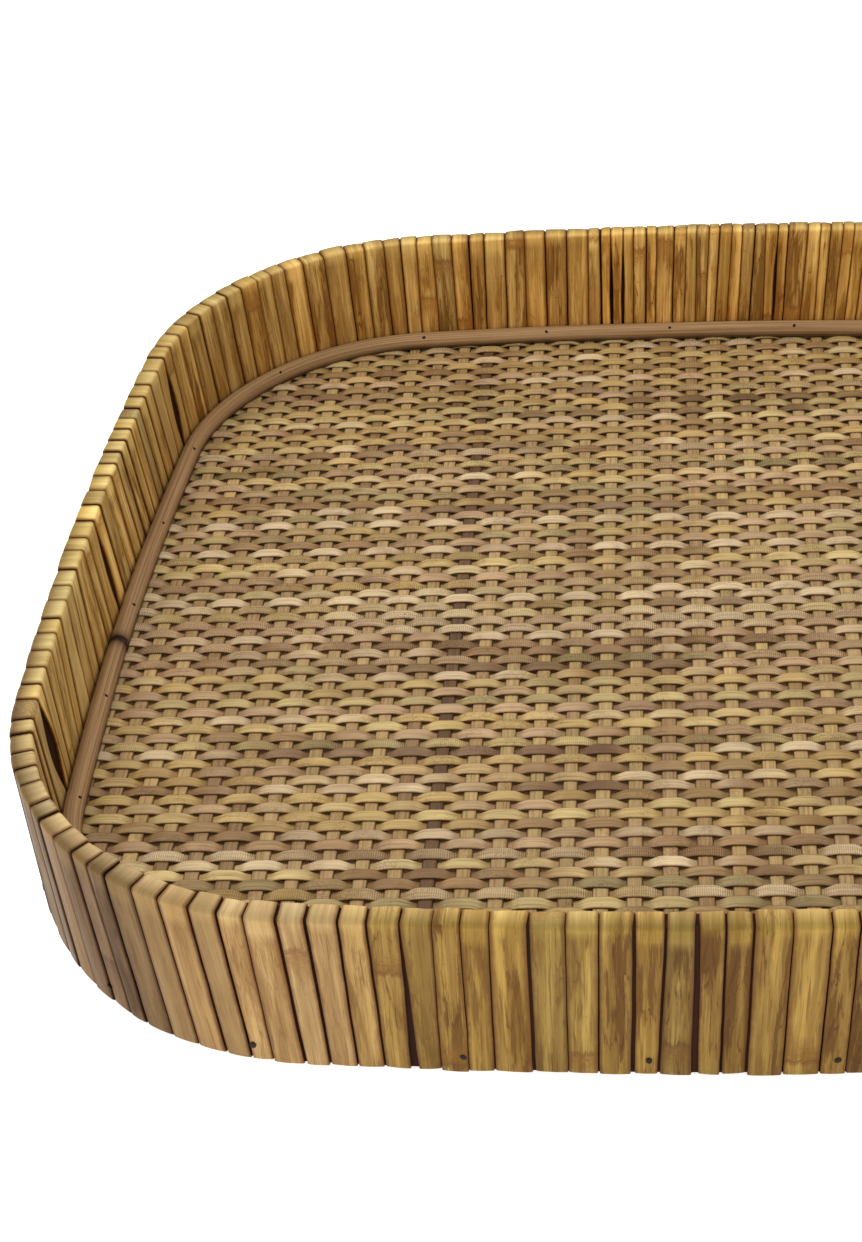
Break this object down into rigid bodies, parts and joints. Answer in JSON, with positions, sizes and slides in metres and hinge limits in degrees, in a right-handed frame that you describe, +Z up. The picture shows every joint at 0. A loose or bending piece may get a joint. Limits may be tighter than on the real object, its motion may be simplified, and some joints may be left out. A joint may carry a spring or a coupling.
{
  "type": "serving tray",
  "caption": "Square tray with rounded corners, rattan-wound wall and a woven rattan floor edged by a pinned cane bead.",
  "frame": {"origin": "on the ground plane under the middle of the tray", "axes": "+Z up, -Y towards the front side, +X to the right; all four sides are alike"},
  "size_m": [0.4, 0.4, 0.058],
  "materials": {
    "rattan_peel": "satin natural rattan peel with brown node marks",
    "hoop_wood": "dark stained bent wood",
    "plywood": "sanded plywood",
    "warp_cane": "satin flat cane",
    "weft_cane": "satin flat cane",
    "bead_cane": "D-shaped cane with fine lengthwise fibres",
    "nail_steel": "dull darkened steel"
  },
  "bodies": {
    "root": {"base_board": "plywood", "bead_brads": "nail_steel", "inner_bead": "bead_cane", "inner_hoop_left": "hoop_wood", "inner_hoop_right": "hoop_wood", "outer_hoop_back": "hoop_wood", "outer_hoop_front": "hoop_wood", "rim_nails": "nail_steel", "warp_strips_even": "warp_cane", "warp_strips_odd": "warp_cane", "weft_strips_even": "weft_cane", "weft_strips_odd": "weft_cane", "wrap_back": "rattan_peel", "wrap_back_left_corner": "rattan_peel", "wrap_back_right_corner": "rattan_peel", "wrap_front": "rattan_peel", "wrap_front_left_corner": "rattan_peel", "wrap_front_right_corner": "rattan_peel", "wrap_left": "rattan_peel", "wrap_right": "rattan_peel"}
  },
  "joints": []
}
